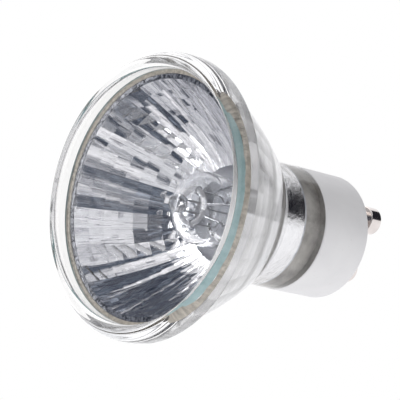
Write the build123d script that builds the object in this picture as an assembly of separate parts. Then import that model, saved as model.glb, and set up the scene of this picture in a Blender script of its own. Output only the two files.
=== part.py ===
from build123d import *
import os
from math import cos, hypot, pi, radians, sin, sqrt

# Mains halogen reflector lamp, two-pin base. Millimetres, +Z from the front of the rim towards the pins.
# The origin is the centre of the rim's front face, and the two pins lie along X.

# Rim and cover glass
RIM_DIAMETER = 50.0
RIM_WALL = 2.9              # glass outside the cover's recess
RIM_ROUND = 1.75            # front outer corner, across
RIM_ROUND_DEPTH = 2.2       # and along the axis
RIM_INNER_ROUND = 0.8       # front inner corner
RIM_DEPTH = 3.9             # from the front face to the rim's back corner
RIM_BACK_ROUND = 0.5
RIM_STEP = 1.0              # how far the bowl starts inside the rim's outside
COVER_DEPTH = 2.2           # cover's front face below the rim's
COVER_THICKNESS = 1.1
COVER_BEVEL = 0.15
COVER_EDGE_GAP = 0.1        # on the radius
SEALANT_THICKNESS = 0.2     # bead between the cover and the ledge
SEALANT_WIDTH = 0.7         # from the recess wall inwards
SEALANT_REACH = 0.5         # up the cover's edge, filling the gap there

# Bowl and neck
BOWL_LENGTH = 24.2          # from the front face to where the neck begins
NECK_SHOULDER = 0.3         # small step from the bowl's back to the neck
NECK_DIAMETER = 22.4
NECK_WALL = 2.2
NECK_END = 33.8             # where the glass ends, from the front face
LEDGE_WIDTH = 1.4           # from the recess wall in to the mirror's mouth
THROAT_DIAMETER = 17.6      # mirror at the bottom of the bowl
THROAT_DEPTH = 20.7         # from the front face
COATING_THICKNESS = 0.1     # measured square to the axis

# Facets of the mirror
FACET_COLUMNS = 34
FACET_HEIGHT = 2.58         # along the bowl, counted from the throat
FACET_TURN = 5.9            # degrees from X to the first column's edge
TIER_STEPS = 400            # steps in which the bowl is walked to find the tiers
LAST_TIER_SHARE = 0.05      # of the bowl's width, the least that is left for the tier at the mouth

# Capsule
CAPSULE_DIAMETER = 12.9
CAPSULE_WALL = 0.95
CAPSULE_TIP = 10.4          # front of the dome, from the rim's front face
CAPSULE_DOME = 4.6
CAPSULE_STRAIGHT = 6.1      # cylindrical stretch
PRESS_LENGTH = 5.0          # from round to flat
PINCH_WIDTH = 12.2
PINCH_THICKNESS = 3.2
PINCH_LENGTH = 9.0
PINCH_CORNER = 1.0
PIP_DIAMETER = 3.3
PIP_REACH = 2.6             # pip's front before the dome's
PIP_NECK_DIAMETER = 2.5

# Filament and wires
RING_DIAMETER = 5.9         # middle line of the coil
COIL_DIAMETER = 0.9
COIL_GAP = 66.0             # degrees of the ring left open
COIL_GAP_AT = -110.0        # degrees from X to the gap's middle
COIL_SETBACK = 2.5          # coil's plane behind the dome's front
COIL_TAIL = 0.8             # straight tail at each end of the coil
INNER_LEAD_DIAMETER = 0.4
LEAD_SPACING = 4.4          # between the two foils' middle lines
SUPPORTS = 3
SUPPORT_DIAMETER = 0.24
SUPPORT_SPACING = 0.9       # between anchors in the pinch
HOOK_CLEARANCE = 0.03
WIRE_BEND = 0.9             # least bend radius of the wires in the capsule
FOIL_WIDTH = 1.8
FOIL_THICKNESS = 0.1
FOIL_LENGTH = 6.0
FOIL_COVER = 1.2            # quartz before the foil's front end
OUTER_LEAD_DIAMETER = 0.7
OUTER_LEAD_BEND = 1.6

# Ceramic base
BASE_DIAMETER = 22.5
BASE_LENGTH = 11.0          # full-diameter stretch behind the glass
BASE_ROUND = 0.5
BASE_NOSE_DIAMETER = 16.8   # rear face
BASE_NOSE_LENGTH = 2.6
SPIGOT_LENGTH = 2.0
SPIGOT_WALL = 1.3
SPIGOT_CLEARANCE = 0.4      # filled by cement
BASE_FLOOR = 5.9            # from the chamber's floor to the rear face
CEMENT_DEPTH = 3.9          # seen through the end of the neck
CEMENT_IN_CHAMBER = 4.0

# Contact pins
OVERALL_LENGTH = 55.0
PIN_SPACING = 10.0
PIN_HEAD_DIAMETER = 5.0
PIN_HEAD_SHARE = 0.34       # of the pin's reach behind the base
PIN_HEAD_ROUND = 0.08       # of the head's length
PIN_SHANK_DIAMETER = 3.2
PIN_COLLAR_DIAMETER = 4.2
PIN_COLLAR_LENGTH = 0.6     # sunk in the rear face, so that the lamp can rest on it
PIN_FLARE_DIAMETER = 4.0
PIN_FLARE_LENGTH = 0.4
PIN_BORE_DIAMETER = 1.0
PIN_FIT = 0.05              # shank and collar inside their holes, on the radius

SEALED_IN_PINCH = ("inner_lead", "foil", "outer_lead", "filament_support")

# Worked out from the sizes above
rim_r = RIM_DIAMETER / 2
recess_r = rim_r - RIM_WALL
mouth_r = recess_r - LEDGE_WIDTH
bead_r = recess_r - SEALANT_WIDTH
ledge_z = COVER_DEPTH + COVER_THICKNESS + SEALANT_THICKNESS
cover_r = recess_r - COVER_EDGE_GAP
neck_r = NECK_DIAMETER / 2
bore_r = neck_r - NECK_WALL
cement_z = NECK_END - CEMENT_DEPTH
capsule_r = CAPSULE_DIAMETER / 2
cavity_r = capsule_r - CAPSULE_WALL
dome_z = CAPSULE_TIP + CAPSULE_DOME
press_z = dome_z + CAPSULE_STRAIGHT
pinch_z = press_z + PRESS_LENGTH
pinch_end_z = pinch_z + PINCH_LENGTH
cavity_end_z = press_z + PRESS_LENGTH / 2
coil_z = CAPSULE_TIP + COIL_SETBACK
foil_z = pinch_z + FOIL_COVER
spigot_z = NECK_END - SPIGOT_LENGTH
spigot_r = bore_r - SPIGOT_CLEARANCE
chamber_r = spigot_r - SPIGOT_WALL
base_end_z = NECK_END + BASE_LENGTH
nose_end_z = base_end_z + BASE_NOSE_LENGTH
floor_z = nose_end_z - BASE_FLOOR
pin_reach = OVERALL_LENGTH - nose_end_z
pin_head_z = OVERALL_LENGTH - PIN_HEAD_SHARE * pin_reach


def at(r, z):
    """A point of a section in the XZ plane."""
    return (r, 0, z)


def outline(*points):
    """The face inside straight lines through the points of a section."""
    return make_face(Polyline(*[at(*p) for p in points], close=True))


def turned(face):
    return revolve(face, Axis.Z, 360)


def ring(r_in, r_out, z0, z1):
    """A plain tube between two heights."""
    return turned(outline((r_in, z0), (r_out, z0), (r_out, z1), (r_in, z1)))


def rod(r, z0, z1, x=0, y=0):
    return Pos(x, y, (z0 + z1) / 2) * Cylinder(r, z1 - z0)


def parabola(r0, z0, r1, z1):
    """An exact arc of the paraboloid's section through two points, with its axis on Z."""
    steep = (r0 ** 2 - r1 ** 2) / (z1 - z0)
    return Bezier(at(r0, z0), at((r0 + r1) / 2, z0 + (r0 ** 2 - r0 * r1) / steep), at(r1, z1))


def quarter(start, corner, end):
    """A quarter of an ellipse between two points, rounding off a corner."""
    return Bezier(at(*start), at(*corner), at(*end), weights=(1, sqrt(0.5), 1))


def wire(points, diameter, bend):
    """A round wire through the points, bent at each one."""
    path = FilletPolyline(*points, radius=bend)
    section = Plane(origin=path @ 0, z_dir=path % 0) * Circle(diameter / 2)
    return sweep(section, path)


def tier_rings():
    """Heights and radii of the facets' edges, from the throat to the mouth, at equal steps along the bowl."""
    r0 = THROAT_DIAMETER / 2
    steep = (mouth_r ** 2 - r0 ** 2) / (THROAT_DEPTH - ledge_z)
    rings, walked = [(r0, THROAT_DEPTH)], 0.0
    r, z = r0, THROAT_DEPTH
    for i in range(1, TIER_STEPS + 1):
        nr = r0 + (mouth_r - r0) * i / TIER_STEPS
        nz = THROAT_DEPTH - (nr ** 2 - r0 ** 2) / steep
        walked += hypot(nr - r, nz - z)
        r, z = nr, nz
        if walked >= FACET_HEIGHT and i < TIER_STEPS * (1 - LAST_TIER_SHARE):
            rings.append((r, z))
            walked = 0.0
    return rings + [(mouth_r, ledge_z)]


def faceted_plug(inset):
    """The hollow of the bowl as a solid with flat facets, drawn in by the inset."""
    def corner(r, z, i):
        a = radians(FACET_TURN + 360 * i / FACET_COLUMNS)
        return ((r - inset) * cos(a), (r - inset) * sin(a), z)
    rings = tier_rings()
    ends = [make_face(Polyline(*[corner(*rings[k], i) for i in range(FACET_COLUMNS)], close=True)) for k in (0, -1)]
    sides = []
    for low, high in zip(rings[:-1], rings[1:]):
        for i in range(FACET_COLUMNS):
            four = [corner(*low, i), corner(*low, i + 1), corner(*high, i + 1), corner(*high, i)]
            sides.append(make_face(Polyline(*four, close=True)))
    return Solid(Shell([f.face() for f in ends + sides]))


def reflector_glass():
    """Pressed bowl with its rim and neck, smooth outside and faceted inside."""
    bowl_r, back_r = rim_r - RIM_STEP, neck_r + NECK_SHOULDER
    lines = [
        Line(at(0, 0), at(rim_r - RIM_ROUND, 0)),
        quarter((rim_r - RIM_ROUND, 0), (rim_r, 0), (rim_r, RIM_ROUND_DEPTH)),
        Line(at(rim_r, RIM_ROUND_DEPTH), at(rim_r, RIM_DEPTH - RIM_BACK_ROUND)),
        quarter((rim_r, RIM_DEPTH - RIM_BACK_ROUND), (rim_r, RIM_DEPTH), (rim_r - RIM_BACK_ROUND, RIM_DEPTH)),
        Line(at(rim_r - RIM_BACK_ROUND, RIM_DEPTH), at(bowl_r, RIM_DEPTH)),
        parabola(bowl_r, RIM_DEPTH, back_r, BOWL_LENGTH),
        Line(at(back_r, BOWL_LENGTH), at(neck_r, BOWL_LENGTH)),
        Line(at(neck_r, BOWL_LENGTH), at(neck_r, NECK_END)),
        Line(at(neck_r, NECK_END), at(0, NECK_END)),
        Line(at(0, NECK_END), at(0, 0)),
    ]
    glass = turned(make_face(lines))
    recess = make_face([
        Line(at(0, 0), at(recess_r + RIM_INNER_ROUND, 0)),
        quarter((recess_r + RIM_INNER_ROUND, 0), (recess_r, 0), (recess_r, RIM_INNER_ROUND)),
        Line(at(recess_r, RIM_INNER_ROUND), at(recess_r, ledge_z)),
        Line(at(recess_r, ledge_z), at(0, ledge_z)),
        Line(at(0, ledge_z), at(0, 0)),
    ])
    return glass - turned(recess) - faceted_plug(0) - rod(bore_r, THROAT_DEPTH, NECK_END)


def mirror_coating():
    """Metal film on the ledge up to the sealant, on the facets, and down the neck as far as the cement."""
    flat_share = cos(pi / FACET_COLUMNS)
    mouth_in, throat_in = [r * flat_share - COATING_THICKNESS for r in (mouth_r, THROAT_DIAMETER / 2)]
    film = faceted_plug(0) - faceted_plug(COATING_THICKNESS)
    film += ring(mouth_in, bead_r, ledge_z - COATING_THICKNESS, ledge_z)
    film += ring(throat_in, bore_r, THROAT_DEPTH, THROAT_DEPTH + COATING_THICKNESS)
    return film + ring(bore_r - COATING_THICKNESS, bore_r, THROAT_DEPTH, cement_z)


def cover_glass():
    disc = rod(cover_r, COVER_DEPTH, COVER_DEPTH + COVER_THICKNESS)
    return chamfer(disc.edges(), COVER_BEVEL)


def sealant_ring():
    """Silicone bead between the ledge and the cover, squeezed up round its edge."""
    cover_back_z = COVER_DEPTH + COVER_THICKNESS
    bead = ring(bead_r, recess_r, cover_back_z, ledge_z)
    return bead + ring(cover_r, recess_r, cover_back_z - SEALANT_REACH, cover_back_z)


def capsule_hollow():
    """The gas space inside the bulb."""
    tip = CAPSULE_TIP + CAPSULE_WALL
    lines = [
        quarter((0, tip), (cavity_r, tip), (cavity_r, dome_z)),
        Line(at(cavity_r, dome_z), at(cavity_r, press_z)),
        quarter((cavity_r, press_z), (cavity_r, cavity_end_z), (0, cavity_end_z)),
        Line(at(0, cavity_end_z), at(0, tip)),
    ]
    return turned(make_face(lines))


def pressed_end():
    """The tube's end pressed flat: the same tube inside a side view that narrows to the pinch."""
    thin, reach = PINCH_THICKNESS / 2, PRESS_LENGTH / 2
    sides = []
    for y in (1, -1):
        sides.append(Bezier((0, y * capsule_r, press_z), (0, y * capsule_r, press_z + reach),
                            (0, y * thin, pinch_z - reach), (0, y * thin, pinch_z)))
        sides.append(Line((0, y * thin, pinch_z), (0, y * thin, pinch_end_z)))
    ends = [Line((0, -r, z), (0, r, z)) for r, z in ((capsule_r, press_z), (thin, pinch_end_z))]
    side_view = extrude(make_face(sides + ends), capsule_r, both=True)
    pinch = Pos(0, 0, (pinch_z + pinch_end_z) / 2) * Box(PINCH_WIDTH, PINCH_THICKNESS, PINCH_LENGTH)
    pinch = fillet(pinch.edges().filter_by(Axis.Z), PINCH_CORNER)
    return (rod(capsule_r, press_z, pinch_z) & side_view) + pinch


def capsule(metal):
    """Quartz bulb with its pip in front and its flat pinch behind, sealed round the metal inside it."""
    lines = [
        quarter((0, CAPSULE_TIP), (capsule_r, CAPSULE_TIP), (capsule_r, dome_z)),
        Line(at(capsule_r, dome_z), at(capsule_r, press_z)),
        Line(at(capsule_r, press_z), at(0, press_z)),
        Line(at(0, press_z), at(0, CAPSULE_TIP)),
    ]
    bulb = turned(make_face(lines)) + pressed_end()
    pip_z = CAPSULE_TIP - PIP_REACH + PIP_DIAMETER / 2
    bulb += Pos(0, 0, pip_z) * Sphere(PIP_DIAMETER / 2)
    bulb += rod(PIP_NECK_DIAMETER / 2, pip_z, CAPSULE_TIP + CAPSULE_WALL / 2)
    for piece in metal:
        bulb -= piece
    return bulb - capsule_hollow()


def on_ring(degrees, z=coil_z):
    a = radians(degrees)
    return (RING_DIAMETER / 2 * cos(a), RING_DIAMETER / 2 * sin(a), z)


def filament_coil():
    """The coil's outer form, an open ring."""
    section = Plane.XZ * Pos(RING_DIAMETER / 2, coil_z) * Circle(COIL_DIAMETER / 2)
    return Rot(0, 0, COIL_GAP_AT + COIL_GAP / 2) * revolve(section, Axis.Z, 360 - COIL_GAP)


def inner_lead(side):
    """Wire from one end of the coil back into the pinch, as far as its foil."""
    end = COIL_GAP_AT + side * COIL_GAP / 2
    x, y, z = on_ring(end)
    tail = (x + side * COIL_TAIL * sin(radians(end)), y - side * COIL_TAIL * cos(radians(end)))
    seat = side * LEAD_SPACING / 2
    middle_z = (coil_z + cavity_end_z) / 2
    points = [(x, y, z), (*tail, z), (*tail, middle_z), (seat, 0, cavity_end_z - CAPSULE_WALL), (seat, 0, foil_z)]
    return wire(points, INNER_LEAD_DIAMETER, [COIL_TAIL / 2, WIRE_BEND, WIRE_BEND])


def filament_support(i):
    """Wire anchored in the pinch, with an eye round the coil."""
    degrees = COIL_GAP_AT - COIL_GAP / 2 - (360 - COIL_GAP) * (i + 1) / (SUPPORTS + 1)
    eye_r = COIL_DIAMETER / 2 + HOOK_CLEARANCE + SUPPORT_DIAMETER / 2
    x, y, z = on_ring(degrees)
    anchor = (i - (SUPPORTS - 1) / 2) * SUPPORT_SPACING
    middle_z = (coil_z + cavity_end_z) / 2
    points = [(x, y, z + eye_r), (x, y, middle_z), (anchor, 0, cavity_end_z - CAPSULE_WALL), (anchor, 0, foil_z)]
    leg = wire(points, SUPPORT_DIAMETER, WIRE_BEND)
    along = Vector(-sin(radians(degrees)), cos(radians(degrees)), 0)
    eye = Plane(origin=(x, y, z), z_dir=along) * Torus(eye_r, SUPPORT_DIAMETER / 2)
    return leg + eye


def foil(side):
    middle = Pos(side * LEAD_SPACING / 2, 0, foil_z + FOIL_LENGTH / 2)
    return middle * Box(FOIL_WIDTH, FOIL_THICKNESS, FOIL_LENGTH)


def outer_lead(side):
    """Wire from the foil's end through the chamber and up the hollow pin."""
    near, far = side * LEAD_SPACING / 2, side * PIN_SPACING / 2
    start_z = foil_z + FOIL_LENGTH
    leave_z = pinch_end_z + OUTER_LEAD_BEND
    enter_z = floor_z - PIN_FLARE_LENGTH - OUTER_LEAD_BEND
    points = [(near, 0, start_z), (near, 0, leave_z), (far, 0, enter_z), (far, 0, pin_head_z)]
    return wire(points, OUTER_LEAD_DIAMETER, OUTER_LEAD_BEND)


def neck_cement(inside):
    """Cement that holds the capsule and the base's spigot in the neck."""
    plug = rod(bore_r, cement_z, NECK_END) - ring(chamber_r, spigot_r, spigot_z, NECK_END)
    plug -= rod(chamber_r, spigot_z + CEMENT_IN_CHAMBER, NECK_END + CEMENT_IN_CHAMBER)
    plug += rod(chamber_r, spigot_z, spigot_z + CEMENT_IN_CHAMBER)
    for piece in inside:
        plug -= piece
    return plug


def ceramic_base():
    """Pressed ceramic with a spigot in the neck, a chamber for the leads and a bevelled rear."""
    base_r = BASE_DIAMETER / 2
    body = turned(outline(
        (0, spigot_z), (spigot_r, spigot_z), (spigot_r, NECK_END), (base_r, NECK_END),
        (base_r, base_end_z), (BASE_NOSE_DIAMETER / 2, nose_end_z), (0, nose_end_z),
    ))
    rims = [e for e in body.edges().filter_by(GeomType.CIRCLE) if e.radius > base_r - BASE_ROUND]
    body = fillet(rims, BASE_ROUND)
    body -= rod(chamber_r, spigot_z, floor_z)
    for side in (-1, 1):
        x = side * PIN_SPACING / 2
        body -= rod(PIN_SHANK_DIAMETER / 2 + PIN_FIT, floor_z, nose_end_z, x)
        body -= rod(PIN_COLLAR_DIAMETER / 2 + PIN_FIT, nose_end_z - PIN_COLLAR_LENGTH, nose_end_z, x)
    return body


def contact_pin(side):
    """Hollow headed pin, held by its sunk collar behind and flared inside the chamber."""
    head_length = OVERALL_LENGTH - pin_head_z
    head = rod(PIN_HEAD_DIAMETER / 2, pin_head_z, OVERALL_LENGTH)
    head = fillet(head.edges().filter_by(GeomType.CIRCLE), PIN_HEAD_ROUND * head_length)
    pin = head + rod(PIN_SHANK_DIAMETER / 2, floor_z, pin_head_z + head_length / 2)
    pin += rod(PIN_COLLAR_DIAMETER / 2, nose_end_z - PIN_COLLAR_LENGTH, nose_end_z)
    pin += rod(PIN_FLARE_DIAMETER / 2, floor_z - PIN_FLARE_LENGTH, floor_z)
    pin -= rod(PIN_BORE_DIAMETER / 2, floor_z - PIN_FLARE_LENGTH, pin_head_z)
    return Pos(side * PIN_SPACING / 2, 0, 0) * pin


def lamp():
    """Every piece by name."""
    sides = {"left": -1, "right": 1}
    nodes = {"filament_coil": filament_coil()}
    for name, side in sides.items():
        nodes["inner_lead_" + name] = inner_lead(side)
        nodes["foil_" + name] = foil(side)
        nodes["outer_lead_" + name] = outer_lead(side)
        nodes["contact_pin_" + name] = contact_pin(side)
    for i in range(SUPPORTS):
        nodes[f"filament_support_{i + 1}"] = filament_support(i)
    sealed = [piece for name, piece in nodes.items() if name.startswith(SEALED_IN_PINCH)]
    nodes["capsule"] = capsule(sealed)
    nodes["neck_cement"] = neck_cement([nodes["capsule"]] + sealed)
    nodes["ceramic_base"] = ceramic_base()
    nodes["reflector_glass"] = reflector_glass()
    nodes["mirror_coating"] = mirror_coating()
    nodes["cover_glass"] = cover_glass()
    nodes["sealant_ring"] = sealant_ring()
    return nodes


os.makedirs("parts", exist_ok=True)
for name, piece in lamp().items():
    export_step(piece, f"parts/{name}.step")
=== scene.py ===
import math
from math import cos, hypot, pi, radians, sin

import bmesh
import bpy
from mathutils import Matrix, Vector


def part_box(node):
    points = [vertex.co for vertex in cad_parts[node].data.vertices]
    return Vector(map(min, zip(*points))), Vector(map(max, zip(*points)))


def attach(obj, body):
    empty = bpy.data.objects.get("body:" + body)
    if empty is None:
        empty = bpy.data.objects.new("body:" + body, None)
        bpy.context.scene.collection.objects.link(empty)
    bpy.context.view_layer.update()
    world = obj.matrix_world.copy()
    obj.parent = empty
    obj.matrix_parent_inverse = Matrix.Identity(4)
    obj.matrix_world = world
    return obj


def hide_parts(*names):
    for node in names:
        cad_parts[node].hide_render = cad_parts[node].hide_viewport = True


# Looks of a mains halogen reflector lamp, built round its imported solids. Metres, +Z from the rim to the pins.

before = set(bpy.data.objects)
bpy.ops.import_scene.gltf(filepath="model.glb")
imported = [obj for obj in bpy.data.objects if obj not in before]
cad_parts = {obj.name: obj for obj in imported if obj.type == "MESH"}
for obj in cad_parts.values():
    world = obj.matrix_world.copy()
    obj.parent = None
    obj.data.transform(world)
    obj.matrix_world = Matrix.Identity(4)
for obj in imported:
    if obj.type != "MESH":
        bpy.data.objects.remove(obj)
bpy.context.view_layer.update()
MM = 0.001

# Sizes read from the solids
BEAD_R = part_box("mirror_coating")[1].x
RIM_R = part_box("reflector_glass")[1].x
NECK_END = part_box("reflector_glass")[1].z
RECESS_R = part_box("sealant_ring")[1].x
LEDGE_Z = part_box("sealant_ring")[1].z
COVER_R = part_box("cover_glass")[1].x
COVER_Z, COVER_BACK_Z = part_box("cover_glass")[0].z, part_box("cover_glass")[1].z
BORE_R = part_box("neck_cement")[1].x
CEMENT_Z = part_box("neck_cement")[0].z
COIL_Z = (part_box("filament_coil")[0].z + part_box("filament_coil")[1].z) / 2
COIL_R = (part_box("filament_coil")[1].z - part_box("filament_coil")[0].z) / 2
RING_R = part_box("filament_coil")[1].x - COIL_R

# Sizes the boxes don't give, the same as in the solids
RIM_ROUND = 1.75 * MM
RIM_ROUND_DEPTH = 2.2 * MM
RIM_INNER_ROUND = 0.8 * MM
RIM_DEPTH = 3.9 * MM
RIM_BACK_ROUND = 0.5 * MM
BOWL_R = RIM_R - 1.0 * MM
BOWL_END = 24.2 * MM
NECK_R = 11.2 * MM
BOWL_BACK_R = NECK_R + 0.3 * MM
MOUTH_R = 20.7 * MM
THROAT_R = 8.8 * MM
THROAT_Z = 20.7 * MM
COATING = 0.1 * MM
COLUMNS = 34
TIER = 2.58 * MM
FACET_TURN = radians(5.9)
COIL_GAP, COIL_GAP_AT = radians(66.0), radians(-110.0)

# Where the scene departs from the solids
BOND = 0.01 * MM            # overlap where something is bonded to glass, so that no air shows between them
CUSHION = 0.03 * MM         # how far a facet's middle stands out
FACET_JITTER = 0.012 * MM   # how far a facet's curve leans to one side
SEALANT_REACH = 0.35 * MM   # how far the silicone rises round the cover's edge
SEALANT_LIFT = 0.06 * MM    # and how unevenly
SEALANT_SETBACK = 0.02 * MM     # how far its inner face lies behind the solid's
SEALANT_RIPPLE = 0.14 * MM  # and how uneven that face is
WIRE_R = 0.05 * MM          # the filament's wire
WIRE_PITCH = 0.15 * MM

# Mesh cells
FACET_CELLS = 8             # across one facet
LATHE_STEPS = COLUMNS * FACET_CELLS
TIER_STEPS = 400            # along the bowl, to measure the tiers
SEALANT_STEPS, SEALANT_ROWS = 900, 8
WIRE_SIDES, TURN_STEPS = 6, 14

# Where smooth shading stops, in degrees
GLASS_SHARP, FILM_SHARP, SEALANT_SHARP = 28, 1.15, 50
TINY = 1e-7                 # metres that count as nothing

# Camera, fitted to the photograph
PHOTO = 400                 # pixels a side
FOCAL_PX = 2150.2
RIM_CENTRE = Vector((-10.20, -0.99, 362.33)) * MM   # as the camera sees it: right, down, ahead
AXIS_TILT = radians(48.12)
AXIS_TURN = radians(13.24)
PIN_ROLL = radians(17.7)
SENSOR = 36.0

# Lamps and floor
LAMP_TARGET = Vector((0, 0, 0.025))
FLOOR_HALF = 3.0

# Looks of the film and the glass
GROOVE_STEP = 1.9 * MM      # how far the painted shade lines of the mould's fine grooves run before they shift
# The grooves' lines are painted shade: how many levels, how wide, and how dark they are painted
GROOVE_LEVELS, GROOVE_WIDTH, GROOVE_SHADE_DEPTH = 8.0, 0.07, 0.45
LAMP_TINT = (0.94, 0.94, 0.94)      # what the glass lets through of the lamps' light

# What mirrored rays see: a tent, laid out by direction as the camera sees it: right, up, back, from -1 to 1.
# A pair is a soft edge, from where it begins to where it ends. Lines are a count and a width.
DEEP = 3.5                  # rays that have passed more glass surfaces than this are the deep ones
SLOT_LEFT = (-0.295, -0.245)
SLOT_RIGHT_TOP, SLOT_RIGHT_MIDDLE, SLOT_RIGHT_LOW = (0.265, 0.315), (0.14, 0.43), (0.50, 0.58)
SLOT_TOP_FROM, SLOT_MIDDLE_FROM = (0.54, 0.62), (0.27, 0.35)
SLOT_FADE, SLOT_FADED = (0.08, 0.50), 0.82
SLOT_BARS, SLOT_BARS_FROM, SLOT_BARS_LIGHT = (11.0, 0.13), (0.2, 0.3), 0.65
SLOT_FOOT = (-0.04, 0.06)
SLOT_DROP_FROM, SLOT_DROP = (-0.06, 0.08), 0.27     # how far the slot reaches down on its right side
SLOT_FRONT = (0.05, 0.25)
SLOT_LOW, SLOT_HIGH, SLOT_SHADE = (0.045, 0.06, 0.09), (0.0, 0.004, 0.02), (0.05, 0.25)
GLINTS, GLINT_COLOUR = (44.0, 0.07), (0.34, 0.39, 0.47)
TENT_LEFT, TENT_RIGHT, TENT_SHADE = (1.40, 1.39, 1.39), (1.02, 1.02, 1.04), (-0.3, 0.25)
BELOW_UNDER, BELOW_FRONT = (-0.3, -0.05), (-0.2, 0.2)
STRIPS, STRIPS_FROM, TENT_BELOW = (9.0, 0.15), (-0.24, -0.22), (0.88, 0.89, 0.92)
BLOCKS, BLOCKS_FROM, TENT_CORNER = (6.5, 0.19), (0.15, 0.17), (1.10, 1.10, 1.12)
SEAMS, SEAM_COLOUR, SEAM_DARK = (20.0, 0.045), (0.16, 0.16, 0.19), 0.75
LAMP_LEFT, LAMP_RIGHT = (-0.64, -0.60), (-0.44, -0.40)
LAMP_LOW, LAMP_HIGH, LAMP_FRONT = (0.08, 0.12), (0.56, 0.60), (0.0, 0.1)
LAMP_COLOUR = (11.0, 11.0, 11.0)
LEFT_SIDE, LEFT_SIDE_LOW, LEFT_COLOUR = (-0.96, -0.84), (-0.35, -0.05), (0.10, 0.11, 0.14)
RIGHT_SIDE, RIGHT_COLOUR = (0.5, 0.6), (0.02, 0.02, 0.025)
RIGHT_SIDE_LOW, RIGHT_SIDE_HIGH = (0.0, 0.06), (0.6, 0.7)
PLAIN_WHITE, PLAIN_GREY, PLAIN_SHADE = (1.05, 1.05, 1.05), (0.45, 0.45, 0.47), (-0.92, -0.3)
LINE_WOBBLE_RATE, LINE_WOBBLE, LINE_CORE, LATTICE_HEIGHTS = 2.6, 0.35, 0.8, 0.8
FILL = 0.68                 # what is seen after a matt bounce

# Meshes


def mesh_object(name, verts, faces, smooth=True):
    """A mesh from lists of points and faces, with outward normals."""
    mesh = bpy.data.meshes.new(name)
    mesh.from_pydata([tuple(v) for v in verts], [], faces)
    bm = bmesh.new()
    bm.from_mesh(mesh)
    bmesh.ops.recalc_face_normals(bm, faces=bm.faces)
    bm.to_mesh(mesh)
    bm.free()
    for p in mesh.polygons:
        p.use_smooth = smooth
    obj = bpy.data.objects.new(name, mesh)
    bpy.context.scene.collection.objects.link(obj)
    return obj


def sharpen(obj, degrees):
    """Marks the edges that turn by more than the angle, so that smooth shading stops there."""
    bm = bmesh.new()
    bm.from_mesh(obj.data)
    limit = radians(degrees)
    for e in bm.edges:
        e.smooth = len(e.link_faces) == 2 and e.calc_face_angle(0) < limit
    bm.to_mesh(obj.data)
    bm.free()
    return obj


def bridge(low, high):
    """Quads between two closed rows of points."""
    n = len(low)
    return [[low[k], low[(k + 1) % n], high[(k + 1) % n], high[k]] for k in range(n)]


def skin(rows, loop=False):
    """Quads over closed rows, and from the last row to the first where the form loops."""
    ahead = rows[1:] + rows[:1] if loop else rows[1:]
    return [face for low, high in zip(rows, ahead) for face in bridge(low, high)]


def even_rows(count, size):
    return [list(range(k * size, (k + 1) * size)) for k in range(count)]


def straight(a, b, n=1):
    return [(a[0] + (b[0] - a[0]) * i / n, a[1] + (b[1] - a[1]) * i / n) for i in range(n + 1)]


def quarter(start, corner, end, n):
    """A quarter of an ellipse from start to end, rounding off the corner."""
    out = []
    for i in range(n + 1):
        t = pi / 2 * i / n
        near, far = 1 - sin(t), 1 - cos(t)
        out.append(tuple(c + (s - c) * near + (e - c) * far for s, c, e in zip(start, corner, end)))
    return out


def parabola_z(r, r0, z0, r1, z1):
    """Height at radius r on the paraboloid through two rings."""
    steep = (r0 ** 2 - r1 ** 2) / (z1 - z0)
    return z0 + (r0 ** 2 - r ** 2) / steep


def parabola(r0, z0, r1, z1, n):
    radii = [r0 + (r1 - r0) * i / n for i in range(n + 1)]
    return [(r, parabola_z(r, r0, z0, r1, z1)) for r in radii]


def join_profiles(*runs):
    """One profile from several runs, without doubled points."""
    out = []
    for run in runs:
        for p in run:
            if not out or hypot(p[0] - out[-1][0], p[1] - out[-1][1]) > TINY:
                out.append(p)
    return out


def turned(r, z, turn=0.0):
    """A ring of points at one radius and height."""
    angles = [turn + 2 * pi * k / LATHE_STEPS for k in range(LATHE_STEPS)]
    return [(r * cos(a), r * sin(a), z) for a in angles]


def lathe(name, profile, material):
    """A closed solid of revolution. The profile is a loop, or runs from the axis back to the axis."""
    loop = profile[0][0] > TINY or profile[-1][0] > TINY
    verts, rows = [], []
    for r, z in profile:
        if r < TINY:
            rows.append([len(verts)] * LATHE_STEPS)
            verts.append((0, 0, z))
        else:
            rows.append(list(range(len(verts), len(verts) + LATHE_STEPS)))
            verts += turned(r, z)
    faces = [[v for i, v in enumerate(face) if v != face[i - 1]] for face in skin(rows, loop)]
    faces = [face for face in faces if len(face) > 2]
    obj = sharpen(mesh_object(name, verts, faces), GLASS_SHARP)
    obj.data.materials.append(material)
    return obj


def piece(obj, *nodes, slot=None, body="root"):
    """A finished piece that stands for its CAD nodes."""
    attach(obj, body)
    if nodes:
        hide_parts(*nodes)
    return obj


# Materials


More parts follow.
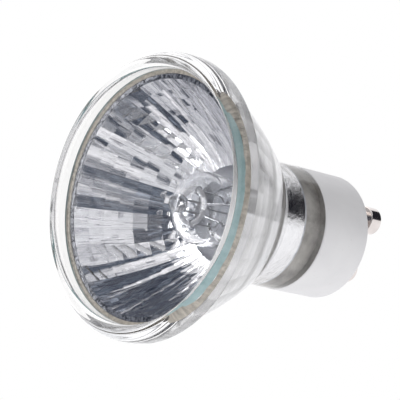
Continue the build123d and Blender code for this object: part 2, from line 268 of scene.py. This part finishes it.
class Nodes:
    """Short calls for building a new material, or the world."""

    def __init__(self, name, owner=None):
        self.owner = owner or bpy.data.materials.new(name)
        self.owner.use_nodes = True
        self.tree = self.owner.node_tree
        self.tree.nodes.clear()
        self.coord = None

    def add(self, kind, inputs=None, **settings):
        n = self.tree.nodes.new(kind)
        for k, v in settings.items():
            setattr(n, k, v)
        for k, v in (inputs or {}).items():
            self.set(n.inputs[k], v)
        return n

    def set(self, socket, v):
        if isinstance(v, bpy.types.NodeSocket):
            self.tree.links.new(v, socket)
        else:
            socket.default_value = v

    def object_coord(self, scale=(1, 1, 1)):
        if self.coord is None:
            self.coord = self.add("ShaderNodeTexCoord").outputs["Object"]
        return self.add("ShaderNodeMapping", {"Vector": self.coord, "Scale": scale}).outputs[0]

    def split(self):
        """The point's x, y and z."""
        return self.add("ShaderNodeSeparateXYZ", {0: self.object_coord()}).outputs

    def vector(self, x, y, z=0.0):
        return self.add("ShaderNodeCombineXYZ", {0: x, 1: y, 2: z}).outputs[0]

    def noise(self, scale, detail=4, rough=0.55, stretch=(1, 1, 1), vector=None):
        vector = vector or self.object_coord(stretch)
        return self.add("ShaderNodeTexNoise", {"Vector": vector, "Scale": scale, "Detail": detail,
                                               "Roughness": rough}).outputs["Fac"]

    def ramp(self, value, *stops):
        n = self.add("ShaderNodeValToRGB", {"Fac": value})
        while len(n.color_ramp.elements) < len(stops):
            n.color_ramp.elements.new(0.5)
        for e, (at, colour) in zip(n.color_ramp.elements, stops):
            e.position = at
            e.color = (*colour, 1)
        return n.outputs["Color"]

    def range(self, value, low, high, to_low=0.0, to_high=1.0, kind="LINEAR"):
        inputs = {"Value": value, "From Min": low, "From Max": high, "To Min": to_low, "To Max": to_high}
        return self.add("ShaderNodeMapRange", inputs, interpolation_type=kind).outputs[0]

    def rise(self, value, edge, low=0.0, high=1.0):
        """A smooth step from low to high over the edge."""
        return self.range(value, *edge, low, high, "SMOOTHSTEP")

    def fall(self, value, edge):
        return self.rise(value, edge, 1.0, 0.0)

    def math(self, op, a, b=0.0):
        return self.add("ShaderNodeMath", {0: a, 1: b}, operation=op).outputs[0]

    def times(self, first, *others):
        for v in others:
            first = self.math("MULTIPLY", first, v)
        return first

    def plus(self, a, b):
        return self.math("ADD", a, b)

    def rest(self, a):
        """What is left of 1."""
        return self.math("SUBTRACT", 1.0, a)

    def blend(self, factor, a, b):
        """A number between a and b."""
        return self.plus(self.times(b, factor), self.times(a, self.rest(factor)))

    def off_middle(self, value):
        """How far the value's fraction is from a half."""
        return self.math("ABSOLUTE", self.math("SUBTRACT", self.math("FRACT", value), 0.5))

    def mix(self, factor, a, b):
        """A colour between a and b."""
        n = self.add("ShaderNodeMix", data_type="RGBA")
        for socket, v in zip((n.inputs[0], n.inputs[6], n.inputs[7]), (factor, a, b)):
            self.set(socket, (*v, 1) if isinstance(v, tuple) else v)
        return n.outputs[2]

    def mix_shader(self, factor, a, b):
        return self.add("ShaderNodeMixShader", {0: factor, 1: a, 2: b}).outputs[0]

    def bump(self, height, distance, normal=None):
        n = self.add("ShaderNodeBump", {"Height": height, "Distance": distance, "Strength": 1.0})
        if normal is not None:
            self.set(n.inputs["Normal"], normal)
        return n.outputs[0]

    def shader(self, **values):
        inputs = {k.replace("_", " "): v for k, v in values.items()}
        return self.add("ShaderNodeBsdfPrincipled", inputs).outputs[0]

    def finish(self, surface, kind="ShaderNodeOutputMaterial"):
        self.add(kind, {"Surface": surface})
        return self.owner

    def finish_solid(self, colour, metal, rough, normal, **more):
        solid = self.shader(Base_Color=colour, Metallic=metal, Roughness=rough, Normal=normal, **more)
        return self.finish(solid)

    def finish_glass(self, tint, ior, rough, normal):
        """Glass that lamps shine through, so that what lies behind it is lit."""
        glass = self.shader(Base_Color=tint, Transmission_Weight=1.0, IOR=ior, Roughness=rough, Normal=normal)
        clear = self.add("ShaderNodeBsdfTransparent", {"Color": (*LAMP_TINT, 1)}).outputs[0]
        lamp_ray = self.add("ShaderNodeLightPath").outputs["Is Shadow Ray"]
        return self.finish(self.mix_shader(lamp_ray, glass, clear))


def scaled(colour, share):
    return tuple(c * share for c in colour)


def glass_material(name, colour, ior, waviness, wave_scale):
    """Clear glass with the slow waves of a pressed or drawn surface."""
    m = Nodes(name)
    normal = m.bump(m.noise(wave_scale, 2, 0.4), waviness)
    shade = m.mix(m.range(m.noise(wave_scale * 4, 3), 0.3, 0.7), colour, scaled(colour, 0.985))
    return m.finish_glass(shade, ior, 0.0, normal)


def quartz_material():
    """Blown quartz: slow waves, and faint rings left by the rollers round the tube."""
    m = Nodes("blown_quartz")
    rings = m.noise(500, 3, 0.6, stretch=(0.12, 0.12, 1.6))
    normal = m.bump(m.noise(130, 2, 0.4), 0.008 * MM, m.bump(rings, 0.02 * MM))
    shade = m.mix(m.range(m.noise(400, 3), 0.3, 0.7), (0.985, 0.99, 0.995), (0.965, 0.97, 0.98))
    return m.finish_glass(shade, 1.46, 0.02, normal)


def frosted_material():
    """The recess wall, left matt by the mould."""
    m = Nodes("pressed_glass_matt")
    grain = m.noise(1400, 3, 0.6)
    shade = m.mix(m.range(grain, 0.3, 0.7), (0.95, 0.95, 0.94), (0.99, 0.99, 0.98))
    return m.finish_glass(shade, 1.47, 0.4, m.bump(grain, 0.004 * MM))


def edge_material():
    """The cover's ground edge, which gathers the glass's green."""
    m = Nodes("cover_glass_edge")
    grain = m.noise(900, 4, 0.6)
    colour = m.mix(m.range(grain, 0.3, 0.7), (0.30, 0.46, 0.48), (0.44, 0.60, 0.62))
    return m.finish_solid(colour, 0.0, 0.3, m.bump(grain, 0.01 * MM))


def mirror_material():
    """Vapour-deposited film: bright, with the mould's drag marks, and thin dark lines along the bowl that are
    painted shade of fine grooves.
    """
    m = Nodes("mirror_film")
    x, y, z = m.split()
    turn = m.math("ARCTAN2", y, x)
    drag = m.noise(1.4, 3, 0.6, vector=m.vector(m.times(turn, 60.0), m.times(z, 60.0)))
    colour = m.ramp(m.noise(300, 3), (0.3, (0.86, 0.86, 0.875)), (0.7, (0.92, 0.92, 0.93)))
    step = m.math("FLOOR", m.times(z, 1 / GROOVE_STEP))
    field = m.noise(1.0, 2, 0.5, vector=m.vector(m.times(turn, 22.0), m.times(step, 0.11), m.times(z, 20.0)))
    off = m.off_middle(m.times(field, GROOVE_LEVELS))
    # Painted shade: thin dark lines on the film where fine grooves would shade it
    groove_shade = m.range(off, GROOVE_WIDTH * 0.6, GROOVE_WIDTH, GROOVE_SHADE_DEPTH, 0.0)
    colour = m.mix(groove_shade, colour, (0.10, 0.10, 0.12))
    return m.finish_solid(colour, 1.0, 0.0, m.bump(drag, 0.002 * MM))


def mirror_back_material():
    """The film's back as it shows through the glass, a little dull."""
    m = Nodes("mirror_film_back")
    cloud = m.noise(260, 4, 0.6)
    colour = m.ramp(cloud, (0.3, (0.88, 0.88, 0.885)), (0.7, (0.94, 0.94, 0.945)))
    return m.finish_solid(colour, 0.75, m.range(cloud, 0.3, 0.7, 0.12, 0.18), m.bump(cloud, 0.003 * MM))


def ledge_material():
    """The film where it runs thin on the ledge."""
    m = Nodes("mirror_film_ledge")
    cloud = m.noise(2200, 4, 0.7)
    colour = m.ramp(cloud, (0.42, (0.06, 0.065, 0.085)), (0.6, (0.62, 0.64, 0.70)))
    return m.finish_solid(colour, 0.7, 0.2, m.bump(cloud, 0.004 * MM))


def neck_material():
    """The film on the neck's bore, dulled and mottled by the cement behind it."""
    m = Nodes("mirror_film_neck")
    mottle = m.noise(750, 5, 0.7)
    colour = m.ramp(mottle, (0.3, (0.80, 0.80, 0.81)), (0.7, (0.92, 0.92, 0.93)))
    return m.finish_solid(colour, 1.0, m.range(mottle, 0.4, 0.7, 0.03, 0.16), m.bump(mottle, 0.07 * MM))


def silicone_material():
    """Beige silicone, speckled and a little patchy."""
    m = Nodes("sealant_silicone")
    grain = m.noise(1500, 5, 0.7)
    colour = m.mix(m.range(grain, 0.36, 0.64), (0.27, 0.25, 0.22), (0.70, 0.65, 0.58))
    colour = m.mix(m.range(m.noise(160, 3), 0.42, 0.7, 0.0, 0.6), colour, (0.50, 0.45, 0.39))
    return m.finish_solid(colour, 0.0, 0.62, m.bump(grain, 0.05 * MM))


def cement_material():
    """Grey cement, clouded and pitted, with painted light on the front that the capsule stands in: paler,
    bluish streaks.
    """
    m = Nodes("lamp_cement")
    cloud = m.noise(230, 5, 0.62)
    stain = m.noise(90, 3, 0.5, stretch=(1, 1, 2.2))
    pits = m.add("ShaderNodeTexVoronoi", {"Vector": m.object_coord(), "Scale": 1300.0}).outputs["Distance"]
    greys = (0.3, (0.22, 0.21, 0.205)), (0.5, (0.40, 0.385, 0.37)), (0.7, (0.60, 0.585, 0.565))
    colour = m.mix(m.range(stain, 0.42, 0.66), m.ramp(cloud, *greys), (0.42, 0.40, 0.37))
    # Painted light: the front is painted paler and bluish in streaks, near white at the brightest
    painted_light_streaks = m.noise(500, 6, 0.7, stretch=(1, 0.25, 1))
    painted_light_front = m.ramp(painted_light_streaks, (0.3, (0.34, 0.36, 0.42)), (0.5, (0.78, 0.80, 0.87)), (0.7, (0.95, 0.96, 1.0)))
    near = m.range(m.split()[2], CEMENT_Z + 0.1 * MM, CEMENT_Z + 0.5 * MM, 1.0, 0.0)
    height = m.plus(m.range(pits, 0.0, 0.4), cloud)
    return m.finish_solid(m.mix(near, colour, painted_light_front), 0.0, 0.7, m.bump(height, 0.06 * MM))


def ceramic_material():
    """Pressed steatite: pale, satin, with a fine grain and faint specks."""
    m = Nodes("steatite_ceramic")
    grain = m.noise(2600, 4, 0.65)
    cloud = m.noise(120, 3)
    colour = m.ramp(cloud, (0.3, (0.65, 0.645, 0.665)), (0.7, (0.71, 0.705, 0.72)))
    colour = m.mix(m.range(m.noise(1700, 2, 0.5), 0.68, 0.74, 0.0, 0.35), colour, (0.50, 0.49, 0.47))
    normal = m.bump(grain, 0.012 * MM, m.bump(cloud, 0.05 * MM))
    return m.finish_solid(colour, 0.0, m.range(grain, 0.3, 0.7, 0.34, 0.5), normal, Specular_IOR_Level=0.45)


def nickel_material():
    """Plated metal with fine turning marks round the axis."""
    m = Nodes("nickel_plate")
    warm = (0.80, 0.74, 0.71)
    marks = m.noise(900, 3, 0.6, stretch=(0.05, 0.05, 4.0))
    cloud = m.noise(500, 4)
    colour = m.mix(m.range(cloud, 0.35, 0.7), warm, scaled(warm, 0.9))
    return m.finish_solid(colour, 1.0, m.range(cloud, 0.3, 0.75, 0.08, 0.18), m.bump(marks, 0.006 * MM))


def wire_material(name, colour, rough):
    """Drawn wire or rolled foil, with fine marks along it."""
    m = Nodes(name)
    drawn = m.noise(4000, 3, 0.6, stretch=(1, 1, 0.1))
    shade = m.mix(m.range(drawn, 0.3, 0.7), colour, scaled(colour, 0.7))
    return m.finish_solid(shade, 1.0, rough, m.bump(drawn, 0.004 * MM))


# Pieces


def tier_edges():
    """Radii and heights of the facets' edges, from the throat to the mouth, at equal steps along the bowl."""
    rings, walked = [(THROAT_R, THROAT_Z)], 0.0
    r, z = rings[0]
    for i in range(1, TIER_STEPS + 1):
        last_r, last_z = r, z
        r = THROAT_R + (MOUTH_R - THROAT_R) * i / TIER_STEPS
        z = parabola_z(r, MOUTH_R, LEDGE_Z, THROAT_R, THROAT_Z)
        walked += hypot(r - last_r, z - last_z)
        if walked >= TIER and TIER_STEPS - i > TIER_STEPS / 20:
            rings.append((r, z))
            walked = 0.0
    return rings + [(MOUTH_R, LEDGE_Z)]


def scatter(tier, column):
    """A repeatable number between -1 and 1."""
    x = sin(tier * 12.9898 + column * 78.233 + 37.719) * 43758.5453
    return 2 * (x - math.floor(x)) - 1


def facet_corner(r, z, column):
    a = FACET_TURN + 2 * pi * column / COLUMNS
    return Vector((r * cos(a), r * sin(a), z))


def facet_row(r, z, tier=None):
    """Points along the flat sides of a ring. With a tier given, each side is cushioned and leans a little."""
    points = []
    for column in range(COLUMNS):
        a, b = facet_corner(r, z, column), facet_corner(r, z, column + 1)
        inward = -Vector((a.x + b.x, a.y + b.y, 0)).normalized()
        for i in range(FACET_CELLS):
            u = i / FACET_CELLS
            point = a.lerp(b, u)
            if tier is not None:
                lean = FACET_JITTER * (2 * u - 1) * scatter(tier, column)
                point += inward * (1 - (2 * u - 1) ** 2) * (CUSHION + lean)
            points.append(point)
    return points


def reflector_glass(material, wall_material):
    """The pressed bowl, rim and neck: lathed outside and in the neck, with a faceted inside."""
    back_r, back_z = RIM_R - RIM_BACK_ROUND, RIM_DEPTH - RIM_BACK_ROUND
    profile = join_profiles(
        straight((RECESS_R, LEDGE_Z), (RECESS_R, COVER_Z), 3),
        straight((RECESS_R, COVER_Z), (RECESS_R, RIM_INNER_ROUND), 3),
        quarter((RECESS_R, RIM_INNER_ROUND), (RECESS_R, 0), (RECESS_R + RIM_INNER_ROUND, 0), 8),
        straight((RECESS_R + RIM_INNER_ROUND, 0), (RIM_R - RIM_ROUND, 0)),
        quarter((RIM_R - RIM_ROUND, 0), (RIM_R, 0), (RIM_R, RIM_ROUND_DEPTH), 16),
        straight((RIM_R, RIM_ROUND_DEPTH), (RIM_R, back_z), 2),
        quarter((RIM_R, back_z), (RIM_R, RIM_DEPTH), (back_r, RIM_DEPTH), 6),
        straight((back_r, RIM_DEPTH), (BOWL_R, RIM_DEPTH)),
        parabola(BOWL_R, RIM_DEPTH, BOWL_BACK_R, BOWL_END, 48),
        straight((BOWL_BACK_R, BOWL_END), (NECK_R, BOWL_END)),
        straight((NECK_R, BOWL_END), (NECK_R, NECK_END), 8),
        straight((NECK_R, NECK_END), (BORE_R, NECK_END), 2),
        straight((BORE_R, NECK_END), (BORE_R, THROAT_Z), 8),
    )
    rings = [turned(r, z, FACET_TURN) for r, z in profile] + [facet_row(r, z) for r, z in tier_edges()]
    verts = [point for ring in rings for point in ring]
    faces = skin(even_rows(len(rings), LATHE_STEPS), loop=True)
    obj = sharpen(mesh_object("reflector_glass_dressed", verts, faces), GLASS_SHARP)
    obj.data.materials.append(material)
    obj.data.materials.append(wall_material)
    for p in obj.data.polygons:
        centre = p.center
        on_wall = hypot(centre.x, centre.y) < RECESS_R + BOND and p.normal.z ** 2 < 0.1
        p.material_index = int(on_wall and RIM_INNER_ROUND < centre.z < COVER_Z)
    return piece(obj, "reflector_glass", slot="reflector_glass")


def mirror_film(material, back_material):
    """The reflecting film on the facets, as a shell with a cushioned face and a flat back."""
    tiers = tier_edges()
    face = [facet_row(r - COATING, z, tier) for tier, (r, z) in enumerate(tiers)]
    back = [facet_row(r + BOND, z) for r, z in tiers]
    verts = [point for row in face + back for point in row]
    rows = even_rows(2 * len(tiers), LATHE_STEPS)
    face_rows, back_rows = rows[:len(tiers)], rows[len(tiers):]
    face_skin, back_skin = skin(face_rows), skin(back_rows)
    ends = bridge(face_rows[0], back_rows[0]) + bridge(face_rows[-1], back_rows[-1])
    obj = mesh_object("mirror_film", verts, face_skin + back_skin + ends)
    for i in range(len(back_skin)):
        obj.data.polygons[len(face_skin) + i].material_index = 1
    sharpen(obj, FILM_SHARP)
    obj.data.materials.append(material)
    obj.data.materials.append(back_material)
    return piece(obj, "mirror_coating", slot="mirror_coating")


def film_band(name, material, inner_r, outer_r, front_z, back_z):
    """A smooth ring of the film."""
    corners = [(inner_r, front_z), (outer_r, front_z), (outer_r, back_z), (inner_r, back_z)]
    sides = [straight(a, b, 6) for a, b in zip(corners, corners[1:] + corners[:1])]
    return piece(lathe(name, join_profiles(*sides)[:-1], material), "mirror_coating", slot="mirror_coating")


def film_bands(material, ledge, neck):
    """The film on the ledge, on the throat's lip and down the neck."""
    flat = cos(pi / COLUMNS)
    film_band("ledge_film", ledge, MOUTH_R * flat - COATING, BEAD_R, LEDGE_Z - COATING, LEDGE_Z + BOND)
    film_band("throat_film", material, THROAT_R * flat - COATING, BORE_R, THROAT_Z - BOND, THROAT_Z + COATING)
    film_band("neck_film", neck, BORE_R - COATING, BORE_R + BOND, THROAT_Z + COATING / 2, CEMENT_Z)


def wavy(angle, count, bend, slow):
    """Uneven waves round a ring, from -1 to 1."""
    return sin(angle * count + bend * sin(angle * slow))


def sealant(material):
    """The silicone bead, bonded to the glass, uneven inside and squeezed up round the cover's edge."""
    top, bottom, reach = COVER_BACK_Z - BOND, LEDGE_Z + BOND, COVER_BACK_Z - SEALANT_REACH
    verts = []
    for k in range(SEALANT_STEPS):
        a = 2 * pi * k / SEALANT_STEPS
        ripple = SEALANT_RIPPLE * (0.5 + 0.5 * wavy(a, 37, 2.1, 11) * sin(a * 91))
        lifted = reach + SEALANT_LIFT * wavy(a, 23, 1.7, 7)
        section = []
        for i in range(SEALANT_ROWS + 1):
            t = i / SEALANT_ROWS
            section.append((BEAD_R + SEALANT_SETBACK + ripple * sin(pi * t), top + (bottom - top) * t))
        section += [(RECESS_R + BOND, bottom), (RECESS_R + BOND, lifted), (COVER_R - BOND, lifted),
                    (COVER_R - BOND, top)]
        verts += [(r * cos(a), r * sin(a), z) for r, z in section]
    faces = skin(even_rows(SEALANT_STEPS, len(section)), loop=True)
    obj = sharpen(mesh_object("sealant_bead", verts, faces), SEALANT_SHARP)
    obj.data.materials.append(material)
    return piece(obj, "sealant_ring", slot="silicone")


def cover_glass(face_material, edge_material):
    """The cover, bonded to the recess above the silicone."""
    r, wet_z = RECESS_R + BOND, COVER_BACK_Z - SEALANT_REACH
    obj = lathe("cover_glass_dressed", join_profiles(
        straight((0, COVER_Z), (r, COVER_Z), 6),
        straight((r, COVER_Z), (r, wet_z), 2),
        straight((r, wet_z), (COVER_R, wet_z)),
        straight((COVER_R, wet_z), (COVER_R, COVER_BACK_Z), 2),
        straight((COVER_R, COVER_BACK_Z), (0, COVER_BACK_Z), 6),
    ), face_material)
    obj.data.materials.append(edge_material)
    for p in obj.data.polygons:
        p.material_index = int(abs(p.normal.z) < 0.9)
    return piece(obj, "cover_glass", slot="cover_glass")


def cement_skin(material):
    """Cement in contact with the neck's bore and its end face, which the solid only touches."""
    inner, bore, neck = BORE_R - COATING, BORE_R + BOND, NECK_R - BOND
    obj = lathe("cement_skin", join_profiles(
        straight((inner, CEMENT_Z), (bore, CEMENT_Z)),
        straight((bore, CEMENT_Z), (bore, NECK_END - BOND), 6),
        straight((bore, NECK_END - BOND), (neck, NECK_END - BOND), 3),
        straight((neck, NECK_END - BOND), (neck, NECK_END)),
        straight((neck, NECK_END), (inner, NECK_END), 4),
        straight((inner, NECK_END), (inner, CEMENT_Z), 6),
    )[:-1], material)
    return piece(obj, slot="cement")


def filament_helix(material):
    """The coil's real turns along its open ring."""
    helix_r = COIL_R - WIRE_R
    start, sweep = COIL_GAP_AT + COIL_GAP / 2, 2 * pi - COIL_GAP
    steps = int(RING_R * sweep / WIRE_PITCH) * TURN_STEPS
    ring_angles = [start + sweep * k / steps for k in range(steps + 1)]
    line = []
    for k, a in enumerate(ring_angles):
        w = 2 * pi * k / TURN_STEPS
        r = RING_R + helix_r * cos(w)
        line.append(Vector((r * cos(a), r * sin(a), COIL_Z + helix_r * sin(w))))
    verts = []
    for k, (a, p) in enumerate(zip(ring_angles, line)):
        along = (line[min(k + 1, steps)] - line[max(k - 1, 0)]).normalized()
        out = (p - Vector((RING_R * cos(a), RING_R * sin(a), COIL_Z))).normalized()
        side = along.cross(out).normalized()
        for i in range(WIRE_SIDES):
            t = 2 * pi * i / WIRE_SIDES
            verts.append(p + WIRE_R * (out * cos(t) + side * sin(t)))
    rows = even_rows(steps + 1, WIRE_SIDES)
    obj = mesh_object("filament_turns", verts, skin(rows) + [rows[0], rows[-1]])
    obj.data.materials.append(material)
    return piece(obj, "filament_coil", slot="tungsten")


def use_cad(node, material):
    """A CAD node whose form is shown as it is, with a better finish."""
    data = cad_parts[node].data
    data.materials.clear()
    data.materials.append(material)


# Camera and lamps


def camera_axes():
    """The row frame's axes as the camera sees them: right, down, ahead."""
    a = Vector((sin(AXIS_TILT) * cos(AXIS_TURN), sin(AXIS_TILT) * sin(AXIS_TURN), cos(AXIS_TILT)))
    e1 = a.cross(Vector((0, 0, 1))).normalized()
    e2 = a.cross(e1)
    x = cos(PIN_ROLL) * e1 + sin(PIN_ROLL) * e2
    return Matrix((x, a.cross(x), a)).transposed()


def seen(direction):
    """A direction given as the camera sees it (right, up, towards the camera) in the row frame."""
    r, u, t = direction
    return (camera_axes().transposed() @ Vector((r, -u, -t))).normalized()


def out_of_mouth():
    """The direction in which the bulb shines, as the camera sees it."""
    d = camera_axes() @ Vector((0, 0, -1))
    return (d.x, -d.y, -d.z)


def make_camera():
    back = camera_axes().transposed()
    turn = Matrix([back @ Vector(v) for v in ((1, 0, 0), (0, -1, 0), (0, 0, -1))]).transposed()
    data = bpy.data.cameras.new("camera")
    data.sensor_width = SENSOR
    data.lens = SENSOR * FOCAL_PX / PHOTO
    data.clip_start, data.clip_end = 0.01, 10
    cam = bpy.data.objects.new("camera", data)
    bpy.context.scene.collection.objects.link(cam)
    cam.matrix_world = Matrix.Translation(-(back @ RIM_CENTRE)) @ turn.to_4x4()
    bpy.context.scene.camera = cam


def area_lamp(name, direction, distance, size, watts):
    """A round lamp that lights matt surfaces and isn't mirrored."""
    light = bpy.data.lights.new(name, "AREA")
    light.shape, light.size, light.energy = "DISK", size, watts
    obj = bpy.data.objects.new(name, light)
    bpy.context.scene.collection.objects.link(obj)
    d = seen(direction)
    obj.location = LAMP_TARGET + d * distance
    obj.rotation_mode = "QUATERNION"
    obj.rotation_quaternion = d.to_track_quat("Z", "Y")
    obj.visible_glossy = obj.visible_transmission = False


# World and floor


def uneven_lines(m, value, count, width):
    """1 on thin, unevenly spaced lines with soft edges."""
    wobble = m.times(m.math("SINE", m.times(value, count * LINE_WOBBLE_RATE)), LINE_WOBBLE)
    return m.fall(m.off_middle(m.plus(m.times(value, count), wobble)), (width * LINE_CORE, width))


def lattice(m, right, up, count, width):
    """Lines both ways, spaced a little wider in height."""
    heights = uneven_lines(m, up, count * LATTICE_HEIGHTS, width)
    return m.math("MAXIMUM", uneven_lines(m, right, count, width), heights)


def slot_mask(m, right, up, back):
    """The dark slot: sharp on the left and at the top right, softer below, and barred at the low right."""
    low = m.times(m.rise(right, SLOT_FADE, 1.0, SLOT_FADED), m.fall(right, SLOT_RIGHT_LOW))
    bars = m.times(uneven_lines(m, up, *SLOT_BARS), m.rise(right, SLOT_BARS_FROM, 0.0, SLOT_BARS_LIGHT))
    low = m.times(low, m.rest(bars))
    top = m.rise(up, SLOT_TOP_FROM)
    high = m.blend(top, m.fall(right, SLOT_RIGHT_MIDDLE), m.fall(right, SLOT_RIGHT_TOP))
    right_part = m.blend(m.rise(up, SLOT_MIDDLE_FROM), low, high)
    foot = m.rise(m.plus(up, m.rise(right, SLOT_DROP_FROM, 0.0, SLOT_DROP)), SLOT_FOOT)
    return m.times(m.rise(right, SLOT_LEFT), right_part, foot, m.rise(back, SLOT_FRONT))


def tent_walls(m, right, up, back, deep):
    """The tent without its slot: white, greyer below, with seams, strips, blocks and one bright lamp."""
    blocks = m.mix(m.times(uneven_lines(m, up, *BLOCKS), deep), TENT_CORNER, SLOT_LOW)
    strips = m.times(uneven_lines(m, right, *STRIPS), deep, m.rise(right, STRIPS_FROM))
    under = m.mix(m.rise(right, BLOCKS_FROM), m.mix(strips, TENT_BELOW, SLOT_LOW), blocks)
    below = m.times(m.fall(up, BELOW_UNDER), m.rise(back, BELOW_FRONT))
    colour = m.mix(below, m.mix(m.rise(right, TENT_SHADE), TENT_LEFT, TENT_RIGHT), under)
    colour = m.mix(m.times(lattice(m, right, up, *SEAMS), deep, SEAM_DARK), colour, SEAM_COLOUR)
    lamp = m.times(m.rise(right, LAMP_LEFT), m.fall(right, LAMP_RIGHT), m.rise(up, LAMP_LOW))
    lamp = m.times(lamp, m.fall(up, LAMP_HIGH), m.rise(back, LAMP_FRONT), deep)
    return m.mix(lamp, colour, LAMP_COLOUR)


def tent_colour(m, right, up, back, path):
    """What reflected and refracted rays see.

    Bare rays have passed no glass, and deep ones four glass surfaces or more.
    """
    deep = m.math("GREATER_THAN", path["Transmission Depth"], DEEP)
    bare = m.math("LESS_THAN", path["Transmission Depth"], 0.5)
    mirrored = m.math("GREATER_THAN", path["Glossy Depth"], 0.5)
    dark = m.mix(m.rise(up, SLOT_SHADE), SLOT_LOW, SLOT_HIGH)
    dark = m.mix(lattice(m, right, up, *GLINTS), dark, GLINT_COLOUR)
    slot = m.times(slot_mask(m, right, up, back), m.math("MAXIMUM", deep, bare))
    colour = m.mix(slot, tent_walls(m, right, up, back, deep), dark)
    colour = m.mix(m.times(m.fall(right, LEFT_SIDE), m.rise(up, LEFT_SIDE_LOW)), colour, LEFT_COLOUR)
    side = m.times(m.rise(right, RIGHT_SIDE), m.rise(up, RIGHT_SIDE_LOW), m.fall(up, RIGHT_SIDE_HIGH))
    colour = m.mix(side, colour, RIGHT_COLOUR)
    return m.mix(mirrored, m.mix(m.rise(back, PLAIN_SHADE), PLAIN_WHITE, PLAIN_GREY), colour)


def make_world():
    """White to the camera, a tent to mirrors, plain through glass alone, and a fill after a matt bounce."""
    world = bpy.data.worlds.new("studio")
    bpy.context.scene.world = world
    m = Nodes("studio", world)
    world.cycles.sampling_method = "NONE"
    towards = m.add("ShaderNodeTexCoord").outputs["Generated"]

    def along(direction):
        """How far the ray points that way, from -1 to 1."""
        n = m.add("ShaderNodeVectorMath", {0: towards, 1: seen(direction)}, operation="DOT_PRODUCT")
        return n.outputs["Value"]

    def background(colour, strength):
        return m.add("ShaderNodeBackground", {"Color": colour, "Strength": strength}).outputs[0]

    path = m.add("ShaderNodeLightPath").outputs
    colour = tent_colour(m, along((1, 0, 0)), along((0, 1, 0)), along((0, 0, 1)), path)
    shiny = m.math("MAXIMUM", path["Is Glossy Ray"], path["Is Transmission Ray"])
    shiny = m.times(shiny, m.math("LESS_THAN", path["Diffuse Depth"], 0.5))
    unseen = m.mix_shader(shiny, background((1, 1, 1, 1), FILL), background(colour, 1.0))
    surface = m.mix_shader(path["Is Camera Ray"], unseen, background((1, 1, 1, 1), 1.0))
    m.finish(surface, "ShaderNodeOutputWorld")


def make_floor():
    """A pale floor that only cameras above it see, because the photograph's camera is below its plane."""
    m = Nodes("floor_paper")
    path, geometry = m.add("ShaderNodeLightPath"), m.add("ShaderNodeNewGeometry")
    factor = m.times(path.outputs["Is Camera Ray"], m.rest(geometry.outputs["Backfacing"]))
    paper = m.add("ShaderNodeBsdfDiffuse", {"Color": (0.9, 0.9, 0.9, 1)}).outputs[0]
    clear = m.add("ShaderNodeBsdfTransparent").outputs[0]
    mat = m.finish(m.mix_shader(factor, clear, paper))
    corners = [(-FLOOR_HALF, -FLOOR_HALF, 0), (FLOOR_HALF, -FLOOR_HALF, 0), (FLOOR_HALF, FLOOR_HALF, 0),
               (-FLOOR_HALF, FLOOR_HALF, 0)]
    floor = mesh_object("floor", corners, [[0, 1, 2, 3]], smooth=False)
    floor.data.materials.append(mat)


# Direction as the camera sees it, distance, size in metres, watts
LAMPS = {
    "top_softbox": ((-0.2, 1.0, 0.35), 0.7, 0.5, 0.6),
    "front_softbox": ((-0.8, 0.1, 0.8), 0.8, 0.4, 1.5),
    "axis_softbox": (out_of_mouth(), 0.7, 0.2, 1.3),
    "under_softbox": ((0.3, -1.0, 0.4), 0.7, 0.5, 2.2),
}

make_camera()
make_world()
make_floor()
for name, settings in LAMPS.items():
    area_lamp(name, *settings)

mirror = mirror_material()
cement = cement_material()
nickel = nickel_material()
molybdenum = wire_material("molybdenum", (0.50, 0.50, 0.52), 0.35)
clear_glass = glass_material("pressed_glass", (0.975, 0.973, 0.972), 1.47, 0.002 * MM, 90)
cover_face = glass_material("cover_glass_face", (0.985, 0.985, 0.99), 1.52, 0.0005 * MM, 60)

reflector_glass(clear_glass, frosted_material())
mirror_film(mirror, mirror_back_material())
film_bands(mirror, ledge_material(), neck_material())
cement_skin(cement)
filament_helix(wire_material("tungsten_wire", (0.80, 0.80, 0.82), 0.3))
cover_glass(cover_face, edge_material())
sealant(silicone_material())

finishes = {"capsule": quartz_material(), "neck_cement": cement, "ceramic_base": ceramic_material()}
for side in ("left", "right"):
    finishes["contact_pin_" + side] = nickel
    for wire in ("inner_lead_", "foil_", "outer_lead_"):
        finishes[wire + side] = molybdenum
for number in (1, 2, 3):
    finishes[f"filament_support_{number}"] = molybdenum
for node, material in finishes.items():
    use_cad(node, material)

scene = bpy.context.scene
scene.view_settings.view_transform = "Standard"
scene.cycles.max_bounces = 24
scene.cycles.glossy_bounces = 14
scene.cycles.transmission_bounces = 20
scene.cycles.transparent_max_bounces = 24
